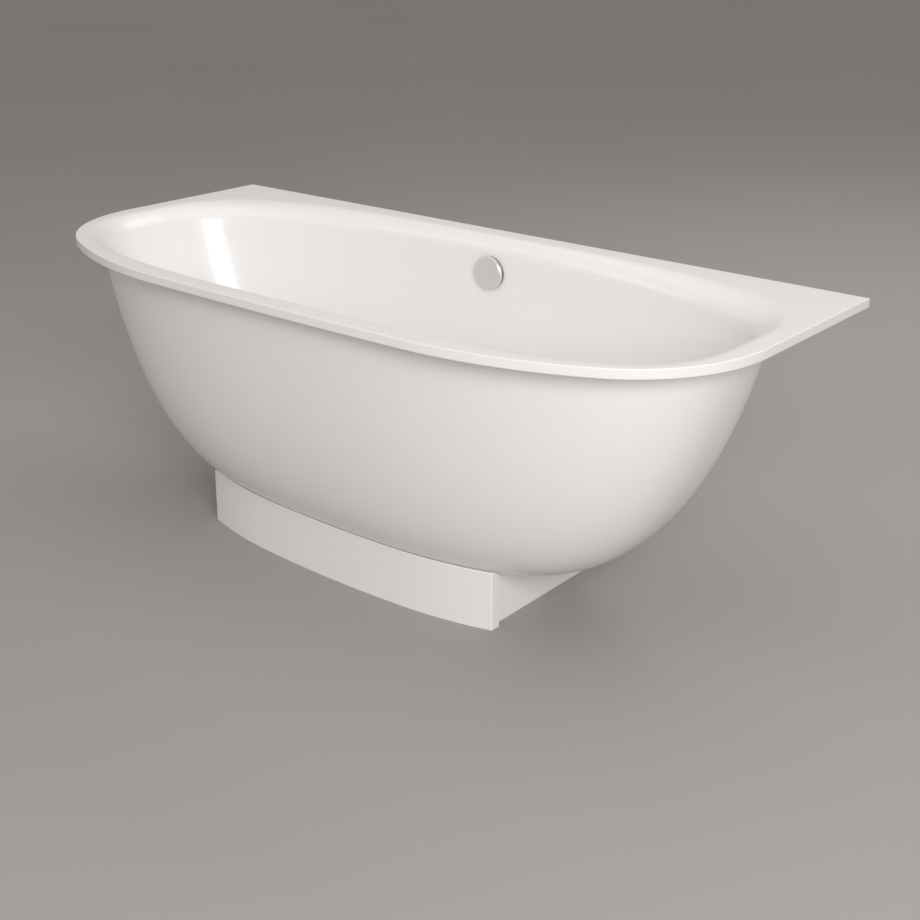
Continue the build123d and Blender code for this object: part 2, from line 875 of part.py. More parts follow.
def cable_drum():
    """A small grooved drum on the spindle that winds the cable's wire."""
    lip = (drum_radius - drum_groove_radius) / 2
    front = drum_setback + drum_thickness
    drum = turned(
        [
            (spindle_radius, drum_setback),
            (drum_radius, drum_setback),
            (drum_radius, drum_setback + lip),
            (drum_groove_radius, drum_setback + drum_thickness / 2),
            (drum_radius, front - lip),
            (drum_radius, front),
            (spindle_radius, front),
        ]
    )
    return at_overflow(drum)


# Hose and cable, as routes of (x, distance from the wall, height)

def route_points(route):
    return [Vector(x, wall_y - setback, z) for x, setback, z in route]


def bend_radii(points):
    """For each corner, the largest arc that its two runs leave room for."""
    radii = []
    for before, corner, after in zip(points, points[1:], points[2:]):
        turn = radians((corner - before).get_angle(after - corner))
        shorter = min((corner - before).length, (after - corner).length)
        radii.append(bend_share * shorter / tan(turn / 2))
    return radii


def along_route(name, route, section):
    """Sweeps a section along straight runs joined by tangent arcs."""
    points = route_points(route)
    radii = bend_radii(points)
    path = FilletPolyline(*points, radius=radii)
    solid = sweep(Plane(path @ 0, z_dir=path % 0) * section, path=path)
    print(name, "length", round(path.length, 1), "radii", [round(radius) for radius in radii])
    print(name, "volume", round(solid.volume), "section by length", round(section.area * path.length))
    return solid


def overflow_hose():
    route = [
        (0, hose_setback, hose_top),
        (0, hose_setback, hose_bend_height),
        (0, hose_bend_setback, overflow_inlet_height),
        (0, bowl_setback - inlet_joint, overflow_inlet_height),
    ]
    return along_route("hose", route, Circle(hose_radius) - Circle(hose_bore))


def hose_nut():
    half = hose_nut_length / 2
    return ribbed_nut(hose_nut_radius, hose_radius, -half, half, nut_ribs)


def hose_upper_nut():
    return Pos(0, wall_y - hose_setback, hose_top) * hose_nut()


def hose_lower_nut():
    return along_y(hose_nut(), 0, bowl_y + inlet_joint, overflow_inlet_height)


def control_cable():
    """Runs down beside the hose, then under the bowl and round to the side of the waste."""
    start = overflow_height - cable_start_drop
    fall = start - cable_gland_height
    route = [
        (-cable_exit_offset, hose_setback, start),
        (-cable_exit_offset, hose_setback, start - cable_straight),
    ]
    for across, away, down in cable_line:
        route.append((-cable_exit_offset * across, bowl_setback * away, start - fall * down))
    route.append((-cable_bend, bowl_setback, cable_gland_height))
    route.append((-body_inner_radius - 1, bowl_setback, cable_gland_height))
    return along_route("cable", route, Circle(cable_radius))


def cable_upper_gland():
    gland = tube(gland_radius, cable_radius, cable_start_drop, cable_start_drop + gland_length)
    return at_overflow(sideways(gland, -cable_exit_offset))


def cable_lower_gland():
    inner_end = body_inner_radius + 1
    gland = tube(gland_radius, cable_radius, -inner_end - gland_length, -inner_end)
    return at_waste(along_x(gland, 0, 0, cable_gland_height))


# Trap and outlet

def trap_body():
    """A cup trap: the baffle makes the water seal between the inlet and the outlet."""
    inside = trap_radius - trap_wall
    inlet_reach = trap_offset - outlet_joint_x
    cup = rod(trap_radius, trap_rim, trap_top)
    cup += along_x(rod(waste_outlet_radius, -inlet_reach, 0), 0, 0, waste_outlet_height)
    cup += along_y(rod(pipe_radius, 0, pipe_joint), pipe_offset, 0, trap_outlet_height)
    cup -= rod(inside, 0, trap_top - trap_wall)
    inlet_bore = rod(waste_outlet_radius - body_wall, -inlet_reach, 0)
    cup -= along_x(inlet_bore, 0, 0, waste_outlet_height)
    outlet_bore = rod(pipe_radius - pipe_wall, 0, pipe_joint)
    cup -= along_y(outlet_bore, pipe_offset, 0, trap_outlet_height)
    half = trap_wall / 2
    baffle = block(-half, half, -trap_radius, trap_radius, trap_baffle_bottom, trap_top - trap_wall)
    cup += baffle & rod(inside + half, 0, trap_top)
    return at_trap(cup)


def at_trap(part):
    return Pos(trap_offset, bowl_y, 0) * part


def trap_cap():
    """The cleaning cap that screws up over the bottom of the trap."""
    top = trap_rim + trap_cap_overlap
    cap = ribbed_nut(trap_radius + trap_wall, trap_radius, trap_cap_bottom, top, trap_cap_ribs)
    return at_trap(cap + rod(trap_radius, trap_cap_bottom, trap_rim - trap_seal))


def trap_cap_seal():
    return at_trap(tube(trap_radius, trap_radius - 2 * trap_wall, trap_rim - trap_seal, trap_rim))


def pipe_nut(bore):
    return ribbed_nut(bore + nut_wall, bore, -nut_length / 2, nut_length / 2, nut_ribs)


def trap_inlet_nut():
    nut = pipe_nut(waste_outlet_radius)
    return at_waste(along_x(nut, outlet_joint_x, 0, waste_outlet_height))


def trap_outlet_nut():
    nut = pipe_nut(pipe_radius)
    return at_trap(along_y(nut, pipe_offset, pipe_joint, trap_outlet_height))


def outlet_pipe():
    """A plain pipe with a stop collar behind its free end."""
    end = bowl_setback - pipe_wall_gap
    collar_end = end - pipe_spigot
    pipe = rod(pipe_radius, pipe_joint, end)
    pipe += rod(pipe_collar_radius, collar_end - pipe_collar, collar_end)
    pipe -= rod(pipe_radius - pipe_wall, pipe_joint, end)
    return at_trap(along_y(pipe, pipe_offset, 0, trap_outlet_height))


def all_parts():
    right_side = plinth_right_side()
    bearer = right_bearer()
    web = bearer_top - bearer_sheet
    parts = {
        "bath_shell": bath_shell(),
        "plinth_front_panel": plinth_front_panel(),
        "plinth_right_side": right_side,
        "plinth_left_side": mirror(right_side, about=Plane.YZ),
        "plinth_rear_rail": plinth_rear_rail(),
        "corner_blocks": corner_blocks(),
        "right_bearer": bearer,
        "left_bearer": mirror(bearer, about=Plane.YZ),
        "bedding_pads": bedding_pads(),
        "bearer_nuts": hex_nuts(web - weld_nut, web),
        "lock_nuts": hex_nuts(web - weld_nut - lock_nut, web - weld_nut),
        "waste_flange": waste_flange(),
        "waste_flange_seal": waste_flange_seal(),
        "waste_plug": waste_plug(),
        "plug_seal": plug_seal(),
        "plug_stem": plug_stem(),
        "waste_gasket": waste_gasket(),
        "waste_body": waste_body(),
        "lift_lever": lift_lever(),
        "lever_pin": lever_pin(),
        "overflow_body": overflow_body(),
        "overflow_gasket": overflow_gasket(),
        "overflow_face_seal": overflow_face_seal(),
        "overflow_clamp_ring": overflow_clamp_ring(),
        "overflow_screws": overflow_screws(),
        "overflow_knob": overflow_knob(),
        "knob_spindle": knob_spindle(),
        "cable_drum": cable_drum(),
        "overflow_hose": overflow_hose(),
        "hose_upper_nut": hose_upper_nut(),
        "hose_lower_nut": hose_lower_nut(),
        "control_cable": control_cable(),
        "cable_upper_gland": cable_upper_gland(),
        "cable_lower_gland": cable_lower_gland(),
        "trap_body": trap_body(),
        "trap_cap": trap_cap(),
        "trap_cap_seal": trap_cap_seal(),
        "trap_inlet_nut": trap_inlet_nut(),
        "trap_outlet_nut": trap_outlet_nut(),
        "outlet_pipe": outlet_pipe(),
    }
    corner_names = ["left_front", "left_rear", "right_front", "right_rear"]
    for name, (x, y) in zip(corner_names, foot_places()):
        parts[name + "_foot"] = foot(x, y)
        parts[name + "_stud"] = stud(x, y)
    return parts


os.makedirs("parts", exist_ok=True)
for name, solid in all_parts().items():
    export_step(solid, "parts/" + name + ".step")
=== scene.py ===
from itertools import product
from math import asin, cos, pi, radians, sin, sqrt

import bmesh
import bpy
import numpy as np
from mathutils import Matrix, Vector


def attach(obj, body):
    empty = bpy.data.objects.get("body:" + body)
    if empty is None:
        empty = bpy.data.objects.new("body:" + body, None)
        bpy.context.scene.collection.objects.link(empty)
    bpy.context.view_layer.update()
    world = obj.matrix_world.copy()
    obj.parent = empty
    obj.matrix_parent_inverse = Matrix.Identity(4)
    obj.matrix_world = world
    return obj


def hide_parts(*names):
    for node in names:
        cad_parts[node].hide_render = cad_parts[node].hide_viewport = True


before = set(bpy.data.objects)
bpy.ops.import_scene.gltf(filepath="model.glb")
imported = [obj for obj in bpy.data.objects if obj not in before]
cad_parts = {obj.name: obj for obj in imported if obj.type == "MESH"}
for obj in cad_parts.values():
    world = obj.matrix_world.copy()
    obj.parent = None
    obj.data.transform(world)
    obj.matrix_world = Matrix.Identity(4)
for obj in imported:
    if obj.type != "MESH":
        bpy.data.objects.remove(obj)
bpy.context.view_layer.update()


# The casting: bowl and deck poured in one piece from crushed stone in resin, 22 mm thick,
# with a sprayed and polished white face. It comes out of a two-part mould, and the drain
# and the overflow are bored through it afterwards.

# Every length in this script is in metres.
rim_length = 1.700
rim_width = 0.755
rim_height = 0.620
rim_thickness = 0.0185
rim_edge_round = 0.0015
wall_y = rim_width / 2
bowl_y = wall_y - 0.380         # the middle of the bowl and of the drain
hull_bottom = 0.089
hull_top = rim_height - rim_thickness
hull_mouth = (0.806, 0.334)
hull_flat = (0.363, 0.074)
hull_squareness = 2.55
bowl_wall = 0.022
basin_floor = 0.116
lowest_section = 0.121          # the section of the basin where the floor ends
roll_bottom = rim_height - 0.040
opening = (0.814, 0.337)
opening_squareness = 3.5
sump_radius = 0.110
sump_depth = 0.003
sump_curve = 1.25
drain_seat = 0.111              # height of the ledge that the flange is drawn down on
drain_seat_radius = 0.0354
drain_hole_radius = 0.0265
under_rim_fillet = 0.009
end_curve = (1.21, 2.56)        # how the ends of the bowl swell from its floor to its mouth
side_curve = (1.64, 3.99)       # and its sides
overflow_height = 0.541


def bowed_front():
    """The right half of the rim, from the middle of the front to that of the back.

    Each entry is a place and the direction that faces out there.
    """
    bow_radius, shoulder_radius, corner_radius = 13.700, 0.830, 0.296
    half_chord = 0.336
    bow = asin(half_chord / bow_radius)
    reach = rim_length / 2 - half_chord - corner_radius + shoulder_radius * sin(bow)
    shoulder = asin(reach / (shoulder_radius - corner_radius)) - bow
    corner = pi / 2 - bow - shoulder
    arcs = [(bow_radius, bow), (shoulder_radius, shoulder), (corner_radius, corner)]
    spacing = 0.0135
    places = []
    start = Vector((0, -wall_y))
    heading = 0.0
    for radius, turn in arcs:
        centre = start + radius * Vector((-sin(heading), cos(heading)))
        steps = max(4, round(radius * turn / spacing))
        for step in range(steps):
            angle = heading + turn * step / steps
            outward = Vector((sin(angle), -cos(angle)))
            places.append((centre + radius * outward, outward))
        heading += turn
        start = centre + radius * Vector((sin(heading), -cos(heading)))
    end_steps = round((wall_y - start.y) / spacing)
    for step in range(end_steps):
        y = start.y + (wall_y - start.y) * step / end_steps
        places.append((Vector((rim_length / 2, y)), Vector((1, 0))))
    places.append((Vector((rim_length / 2, wall_y)), Vector((1, 1))))
    back_steps = round(rim_length / 2 / spacing)
    for step in range(1, back_steps + 1):
        x = rim_length / 2 * (1 - step / back_steps)
        places.append((Vector((x, wall_y)), Vector((0, 1))))
    return places


right_half = bowed_front()
left_half = [(Vector((-p.x, p.y)), Vector((-n.x, n.y))) for p, n in right_half[-2:0:-1]]
rim_place = np.array([p[:] for p, n in right_half + left_half])
rim_outward = np.array([n[:] for p, n in right_half + left_half])
bearing = np.arctan2(rim_place[:, 1] - bowl_y, rim_place[:, 0])


def level(x, y, z):
    """A ring of points at one height, or at its own heights."""
    return np.stack([x, y, np.broadcast_to(z, x.shape)], axis=1)


def at_reach(reach, z):
    """A ring at its own distance from the middle of the bowl in each direction."""
    return level(reach * np.cos(bearing), bowl_y + reach * np.sin(bearing), z)


def oval_reach(half_length, half_depth, squareness):
    """How far a superellipse lies from the middle of the bowl, in each direction."""
    across = np.abs(np.cos(bearing) / half_length) ** squareness
    along = np.abs(np.sin(bearing) / half_depth) ** squareness
    return (across + along) ** (-1 / squareness)


def rim_ring(inset, z):
    """The outline of the rim, drawn in by an inset."""
    place = rim_place - inset * rim_outward
    return level(place[:, 0], place[:, 1], z)


def bowl_size(z, bottom, top, mouth):
    """Half length and half depth of the bowl at a height. The ends flare longer than the sides."""
    part_way = np.clip((z - bottom) / (top - bottom), 0, 1)
    end = (1 - (1 - part_way) ** end_curve[0]) ** (1 / end_curve[1])
    side = (1 - (1 - part_way) ** side_curve[0]) ** (1 / side_curve[1])
    return (
        hull_flat[0] + (mouth[0] - hull_flat[0]) * end,
        hull_flat[1] + (mouth[1] - hull_flat[1]) * side,
    )


def basin_size(z):
    """Half length and half depth of the inside, one wall in from the hull at the mouth."""
    mouth = (hull_mouth[0] - bowl_wall, hull_mouth[1] - bowl_wall)
    return bowl_size(z, basin_floor, rim_height, mouth)


def floor_rings():
    """From the seat of the drain out to the lowest section, at the height of the floor there."""
    count, crowding, halvings = 20, 1.35, 24
    outer = oval_reach(*basin_size(lowest_section), hull_squareness)
    rings = []
    for step in range(count):
        share = (step / count) ** crowding
        reach = drain_seat_radius + (outer - drain_seat_radius) * share
        x = np.abs(reach * np.cos(bearing))
        y = np.abs(reach * np.sin(bearing))
        low = np.full_like(x, basin_floor)
        high = np.full_like(x, lowest_section)
        for halving in range(halvings):
            middle = (low + high) / 2
            half_length, half_depth = basin_size(middle)
            across = (x / half_length) ** hull_squareness
            along = (y / half_depth) ** hull_squareness
            outside = across + along > 1
            low = np.where(outside, middle, low)
            high = np.where(outside, high, middle)
        dish = np.clip((sump_radius - reach) / (sump_radius - drain_seat_radius), 0, 1)
        rings.append(at_reach(reach, low - sump_depth * dish ** sump_curve))
    return rings


def casting_rings():
    """Every ring of the casting: up the basin, over the deck and down the outside."""
    basin_steps, roll_steps, fillet_steps, hull_steps = 48, 14, 6, 60
    rings = floor_rings()
    low = ((lowest_section - basin_floor) / (roll_bottom - basin_floor)) ** 0.25
    for step in range(basin_steps):
        share = low + (1 - low) * step / basin_steps
        z = basin_floor + (roll_bottom - basin_floor) * (1 - cos(pi / 2 * share)) ** 2
        z = max(z, lowest_section) if step else lowest_section
        rings.append(at_reach(oval_reach(*basin_size(z), hull_squareness), z))
    for step in range(roll_steps + 1):
        turn = pi / 2 * step / roll_steps
        out = 1 - cos(turn)
        z = roll_bottom + (rim_height - roll_bottom) * sin(turn)
        size = [own + (wide - own) * out for own, wide in zip(basin_size(z), opening)]
        squareness = hull_squareness + (opening_squareness - hull_squareness) * out
        rings.append(at_reach(oval_reach(*size, squareness), z))
    lip = rings[-1]
    deck_edge = rim_ring(rim_edge_round * 2, rim_height)
    for share in (0.15, 0.35, 0.55, 0.75, 0.9, 1):
        rings.append(lip + (deck_edge - lip) * share)
    for edge, turns in ((1, (0, 30, 60, 90)), (-1, (90, 60, 30, 0))):
        edge_z = rim_height - rim_edge_round if edge > 0 else hull_top + rim_edge_round
        for turn in turns:
            inset = rim_edge_round * (1 - sin(radians(turn)))
            rings.append(rim_ring(inset, edge_z + edge * rim_edge_round * cos(radians(turn))))
        if edge > 0:
            rings.append(rim_ring(0, edge_z - rim_edge_round))
            rings.append(rim_ring(0, hull_top + 2 * rim_edge_round))
    under_edge = rim_ring(rim_edge_round * 2, hull_top)
    mouth = oval_reach(*hull_mouth, hull_squareness)
    root = at_reach(mouth + under_rim_fillet, hull_top)
    for share in (0, 0.3, 0.6, 0.85, 1):
        rings.append(under_edge + (root - under_edge) * share)
    fillet_foot = hull_top - under_rim_fillet
    foot_size = bowl_size(fillet_foot, hull_bottom, hull_top, hull_mouth)
    foot_reach = oval_reach(*foot_size, hull_squareness)
    for step in range(1, fillet_steps + 1):
        turn = pi / 2 * step / fillet_steps
        reach = foot_reach + (mouth + under_rim_fillet - foot_reach) * (1 - sin(turn))
        rings.append(at_reach(reach, fillet_foot + under_rim_fillet * cos(turn)))
    top_share = (fillet_foot - hull_bottom) / (hull_top - hull_bottom)
    start = 2 / pi * np.arccos(1 - top_share ** 0.5)
    for step in range(1, hull_steps + 1):
        share = start * (1 - step / hull_steps)
        z = hull_bottom + (hull_top - hull_bottom) * (1 - cos(pi / 2 * share)) ** 2
        size = bowl_size(z, hull_bottom, hull_top, hull_mouth)
        rings.append(at_reach(oval_reach(*size, hull_squareness), z))
    flat = rings[-1]
    hole = at_reach(np.full_like(bearing, drain_hole_radius), hull_bottom)
    for share in (0.25, 0.5, 0.75, 0.95, 1):
        rings.append(flat + (hole - flat) * share)
    rings.append(at_reach(np.full_like(bearing, drain_hole_radius), drain_seat))
    rings.append(at_reach(np.full_like(bearing, drain_seat_radius), drain_seat))
    return rings


def new_piece(name, points, faces, crease=35):
    """An object from points and faces, smooth except where it turns sharply."""
    mesh = bpy.data.meshes.new(name)
    mesh.from_pydata([tuple(point) for point in points], [], faces)
    mesh.validate()
    body = bmesh.new()
    body.from_mesh(mesh)
    bmesh.ops.remove_doubles(body, verts=body.verts, dist=1e-7)
    bmesh.ops.recalc_face_normals(body, faces=body.faces)
    body.to_mesh(mesh)
    body.free()
    soften(mesh, crease)
    piece = bpy.data.objects.new(name, mesh)
    bpy.context.scene.collection.objects.link(piece)
    return piece


def soften(mesh, crease):
    """Smooth shading, with an edge kept sharp where the faces turn by more than the crease."""
    mesh.shade_smooth()
    mesh.set_sharp_from_angle(angle=radians(crease))


def joined_rings(name, rings, closed=True, crease=35):
    """A skin over rings of the same count. Closed, the last ring joins the first."""
    count = len(rings[0])
    points = np.concatenate(rings)
    faces = []
    for row in range(len(rings) if closed else len(rings) - 1):
        here = row * count
        there = (row + 1) % len(rings) * count
        for step in range(count):
            after = (step + 1) % count
            faces.append((here + step, here + after, there + after, there + step))
    return new_piece(name, points, faces, crease)


def turned(name, outline, sides=96, crease=35):
    """A closed solid turned round Z from its outline of (radius, height) corners."""
    points = []
    rows = []
    for radius, z in outline:
        if radius < 1e-9:
            rows.append([len(points)] * sides)
            points.append((0, 0, z))
            continue
        rows.append(list(range(len(points), len(points) + sides)))
        for side in range(sides):
            angle = 2 * pi * side / sides
            points.append((radius * cos(angle), radius * sin(angle), z))
    faces = []
    for here, there in zip(rows, rows[1:] + rows[:1]):
        for side in range(sides):
            after = (side + 1) % sides
            corners = [here[side], here[after], there[after], there[side]]
            corners = list(dict.fromkeys(corners))
            if len(corners) > 2:
                faces.append(corners)
    return new_piece(name, points, faces, crease)


def place(piece, matrix):
    """Moves the points of a new piece, and hands it back."""
    piece.data.transform(matrix)
    return piece


# From heights along Z to distances from the wall along the axis of the overflow.
from_wall = Matrix.Translation((0, wall_y, overflow_height)) @ Matrix.Rotation(pi / 2, 4, "X")


def carve(piece, cutter):
    """Cuts one piece with another, which is then thrown away."""
    cut = piece.modifiers.new("cut", "BOOLEAN")
    cut.object = cutter
    cut.operation = "DIFFERENCE"
    cut.solver = "EXACT"
    evaluated = piece.evaluated_get(bpy.context.evaluated_depsgraph_get())
    mesh = bpy.data.meshes.new_from_object(evaluated)
    piece.modifiers.clear()
    piece.data = mesh
    soften(mesh, 35)
    bpy.data.objects.remove(cutter)


def effect(name, inputs, outputs):
    """An empty node group with its named inputs, as (name, kind, value), and outputs."""
    group = bpy.data.node_groups.new(name, "ShaderNodeTree")
    for label, kind, value in inputs:
        socket = group.interface.new_socket(label, in_out="INPUT", socket_type="NodeSocket" + kind)
        if value is not None:
            socket.default_value = value
    for label, kind in outputs:
        group.interface.new_socket(label, in_out="OUTPUT", socket_type="NodeSocket" + kind)
    return group, group.nodes.new("NodeGroupInput"), group.nodes.new("NodeGroupOutput")


def feed(tree, socket, value):
    """Gives a socket a plain number, or joins it to another node."""
    if isinstance(value, (int, float)):
        socket.default_value = value
    else:
        tree.links.new(value, socket)


def noise(tree, vector, scale, detail=2.0, roughness=0.5):
    node = tree.nodes.new("ShaderNodeTexNoise")
    tree.links.new(vector, node.inputs["Vector"])
    feed(tree, node.inputs["Scale"], scale)
    node.inputs["Detail"].default_value = detail
    node.inputs["Roughness"].default_value = roughness
    return node.outputs["Fac"]


def spread(tree, value, low, high, from_low=0.3, from_high=0.7):
    """Maps the middle of a noise on to a range."""
    node = tree.nodes.new("ShaderNodeMapRange")
    tree.links.new(value, node.inputs["Value"])
    node.inputs["From Min"].default_value = from_low
    node.inputs["From Max"].default_value = from_high
    feed(tree, node.inputs["To Min"], low)
    feed(tree, node.inputs["To Max"], high)
    return node.outputs["Result"]


def blended(tree, share, first, second):
    """Mixes the colours of two other nodes."""
    node = tree.nodes.new("ShaderNodeMix")
    node.data_type = "RGBA"
    tree.links.new(share, node.inputs["Factor"])
    colours = [socket for socket in node.inputs if socket.type == "RGBA"]
    for socket, colour in zip(colours, (first, second)):
        tree.links.new(colour, socket)
    return [socket for socket in node.outputs if socket.type == "RGBA"][0]


def uneven_finish():
    """Slow drifts of colour and gloss over a surface, a fine texture in it, and rubbed edges."""
    group, given, out = effect(
        "uneven_finish",
        [
            ("Vector", "Vector", None),
            ("Colour", "Color", (0.8, 0.8, 0.8, 1)),
            ("Drift Colour", "Color", (0.7, 0.7, 0.7, 1)),
            ("Drift Scale", "Float", 4.0),
            ("Gloss Low", "Float", 0.2),
            ("Gloss High", "Float", 0.4),
            ("Texture Scale", "Float", 300.0),
            ("Edge Colour", "Color", (0.9, 0.9, 0.9, 1)),
            ("Edge Wear", "Float", 0.0),
        ],
        [("Colour", "Color"), ("Roughness", "Float"), ("Height", "Float")],
    )
    vector = given.outputs["Vector"]
    drift = spread(group, noise(group, vector, given.outputs["Drift Scale"], 2), 0, 1)
    base = blended(group, drift, given.outputs["Colour"], given.outputs["Drift Colour"])
    geometry = group.nodes.new("ShaderNodeNewGeometry")
    pointiness = geometry.outputs["Pointiness"]
    rubbed = spread(group, pointiness, 0, given.outputs["Edge Wear"], 0.52, 0.62)
    colour = blended(group, rubbed, base, given.outputs["Edge Colour"])
    slow = noise(group, vector, given.outputs["Drift Scale"], 1)
    gloss = spread(group, slow, given.outputs["Gloss Low"], given.outputs["Gloss High"])
    texture = noise(group, vector, given.outputs["Texture Scale"], 2)
    group.links.new(colour, out.inputs["Colour"])
    group.links.new(gloss, out.inputs["Roughness"])
    group.links.new(texture, out.inputs["Height"])
    return group


finish_group = uneven_finish()


def surface(name, effect_group, values, bump, **shader):
    """A material from an effect with its own values, and constants on the shader itself.

    The bump is given as its strength and its depth in metres.
    """
    material = bpy.data.materials.new(name)
    material.use_nodes = True
    tree = material.node_tree
    principled = tree.nodes["Principled BSDF"]
    coordinates = tree.nodes.new("ShaderNodeTexCoord")
    group = tree.nodes.new("ShaderNodeGroup")
    group.node_tree = effect_group
    tree.links.new(coordinates.outputs["Object"], group.inputs["Vector"])
    for label, value in values.items():
        group.inputs[label].default_value = value
    relief = tree.nodes.new("ShaderNodeBump")
    relief.inputs["Strength"].default_value = bump[0]
    relief.inputs["Distance"].default_value = bump[1]
    tree.links.new(group.outputs["Height"], relief.inputs["Height"])
    tree.links.new(relief.outputs["Normal"], principled.inputs["Normal"])
    tree.links.new(group.outputs["Colour"], principled.inputs["Base Color"])
    tree.links.new(group.outputs["Roughness"], principled.inputs["Roughness"])
    for label, value in shader.items():
        principled.inputs[label.replace("_", " ")].default_value = value
    return material


def finished(name, values, bump, **shader):
    """A material from the uneven finish."""
    return surface(name, finish_group, values, bump, **shader)


def dress(piece, material, slot, body="bath", *nodes):
    """Gives a new piece its material and body, and hides the CAD nodes it stands for."""
    piece.data.materials.clear()
    piece.data.materials.append(material)
    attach(piece, body)
    if nodes:
        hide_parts(*nodes)


def dress_node(name, material):
    """A CAD piece that keeps its own shape and gets a better material."""
    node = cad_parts[name]
    node.data.materials.clear()
    node.data.materials.append(material)


cast_white = finished(
    "cast_white",
    {
        "Colour": (0.86, 0.845, 0.835, 1),
        "Drift Colour": (0.85, 0.834, 0.823, 1),
        "Drift Scale": 1.6,
        "Gloss Low": 0.30,
        "Gloss High": 0.34,
        "Texture Scale": 45.0,
    },
    bump=(0.02, 0.0004),
    Coat_Weight=0.35,
    Coat_Roughness=0.06,
)
casting = joined_rings("casting", casting_rings())
overflow_hole = drain_hole_radius
bored_hole = turned(
    "bored_hole",
    [
        (0, -0.002), (0.038, -0.002), (0.038, 0.051), (overflow_hole, 0.051),
        (overflow_hole, 0.0695), (0.0385, 0.0695), (0.0385, 0.120), (0, 0.120),
    ],
)
carve(casting, place(bored_hole, from_wall))
dress(casting, cast_white, "stone_resin", "bath", "bath_shell")


# The plinth: a bowed front panel and two side walls, cast in the same stone resin as the bath,
# scribed to the underside of the bowl and bonded to it, with an open back.

plinth_white = finished(
    "plinth_white",
    {
        "Colour": (0.85, 0.835, 0.822, 1),
        "Drift Colour": (0.835, 0.82, 0.806, 1),
        "Drift Scale": 2.2,
        "Gloss Low": 0.30,
        "Gloss High": 0.36,
        "Texture Scale": 70.0,
    },
    bump=(0.02, 0.0004),
    Coat_Weight=0.12,
    Coat_Roughness=0.2,
)
for name in ("plinth_front_panel", "plinth_left_side", "plinth_right_side"):
    dress_node(name, plinth_white)


# The timber inside the plinth: a planed softwood rail behind the trap and four sawn glue blocks,
# which hold the panel and the sides square while the adhesive sets.

def sawn_timber():
    """Growth rings stretched along the board, with darker late wood and a raised grain."""
    group, given, out = effect(
        "sawn_timber",
        [
            ("Vector", "Vector", None),
            ("Early Wood", "Color", (0.62, 0.44, 0.26, 1)),
            ("Late Wood", "Color", (0.42, 0.25, 0.12, 1)),
            ("Board Length", "Vector", (3.0, 60.0, 60.0)),
        ],
        [("Colour", "Color"), ("Roughness", "Float"), ("Height", "Float")],
    )
    stretched = group.nodes.new("ShaderNodeVectorMath")
    stretched.operation = "MULTIPLY"
    group.links.new(given.outputs["Vector"], stretched.inputs[0])
    group.links.new(given.outputs["Board Length"], stretched.inputs[1])
    rings = group.nodes.new("ShaderNodeTexWave")
    rings.bands_direction = "DIAGONAL"
    rings.inputs["Scale"].default_value = 0.55
    rings.inputs["Distortion"].default_value = 7.0
    rings.inputs["Detail"].default_value = 3.0
    group.links.new(stretched.outputs["Vector"], rings.inputs["Vector"])
    fibre = noise(group, stretched.outputs["Vector"], 5.0, 5, 0.7)
    early, late = given.outputs["Early Wood"], given.outputs["Late Wood"]
    colour = blended(group, rings.outputs["Fac"], early, late)
    group.links.new(colour, out.inputs["Colour"])
    group.links.new(spread(group, fibre, 0.6, 0.85), out.inputs["Roughness"])
    group.links.new(fibre, out.inputs["Height"])
    return group


planed_softwood = surface("planed_softwood", sawn_timber(), {}, bump=(0.35, 0.0006))
for name in ("plinth_rear_rail", "corner_blocks"):
    dress_node(name, planed_softwood)


# The bearers: two channels folded from 2.5 mm hot-dip galvanised sheet, pressed up against two
# beds of grey filled resin that take up the unevenness of the casting.

def zinc_spangle():
    """Frosted crystals a few millimetres across, each with its own tone and gloss."""
    group, given, out = effect(
        "zinc_spangle",
        [
            ("Vector", "Vector", None),
            ("Bright Crystal", "Color", (0.62, 0.63, 0.64, 1)),
            ("Dull Crystal", "Color", (0.44, 0.45, 0.46, 1)),
            ("Crystal Scale", "Float", 140.0),
        ],
        [("Colour", "Color"), ("Roughness", "Float"), ("Height", "Float")],
    )
    cells = group.nodes.new("ShaderNodeTexVoronoi")
    group.links.new(given.outputs["Vector"], cells.inputs["Vector"])
    group.links.new(given.outputs["Crystal Scale"], cells.inputs["Scale"])
    tone = group.nodes.new("ShaderNodeSeparateColor")
    group.links.new(cells.outputs["Color"], tone.inputs["Color"])
    bright, dull = given.outputs["Bright Crystal"], given.outputs["Dull Crystal"]
    colour = blended(group, tone.outputs["Red"], bright, dull)
    group.links.new(colour, out.inputs["Colour"])
    group.links.new(spread(group, tone.outputs["Green"], 0.32, 0.55, 0, 1), out.inputs["Roughness"])
    group.links.new(cells.outputs["Distance"], out.inputs["Height"])
    return group


galvanised_sheet = surface(
    "galvanised_sheet", zinc_spangle(), {}, bump=(0.05, 0.0003), Metallic=1.0
)
for name in ("left_bearer", "right_bearer"):
    dress_node(name, galvanised_sheet)
grey_bedding = finished(
    "grey_bedding",
    {
        "Colour": (0.36, 0.355, 0.34, 1),
        "Drift Colour": (0.28, 0.275, 0.26, 1),
        "Drift Scale": 40.0,
        "Gloss Low": 0.7,
        "Gloss High": 0.9,
        "Texture Scale": 260.0,
    },
    bump=(0.5, 0.0008),
)
dress_node("bedding_pads", grey_bedding)


# The levelling feet: M12 zinc-plated studs with rolled threads, screwed through a welded nut and
# a lock nut under each bearer, and pressed into a round foot moulded in black nylon.

stud_radius = 0.006
stud_bottom, stud_top = 0.007, 0.076
thread_pitch = 0.00175
thread_depth = 0.0009
bearer_web = 0.0795             # underside of the web of each bearer
weld_nut_height = 0.010
lock_nut_height = 0.006
foot_across, foot_along = 0.230, 0.150
feet = {
    "left_front": (-foot_across, bowl_y - foot_along),
    "left_rear": (-foot_across, bowl_y + foot_along),
    "right_front": (foot_across, bowl_y - foot_along),
    "right_rear": (foot_across, bowl_y + foot_along),
}

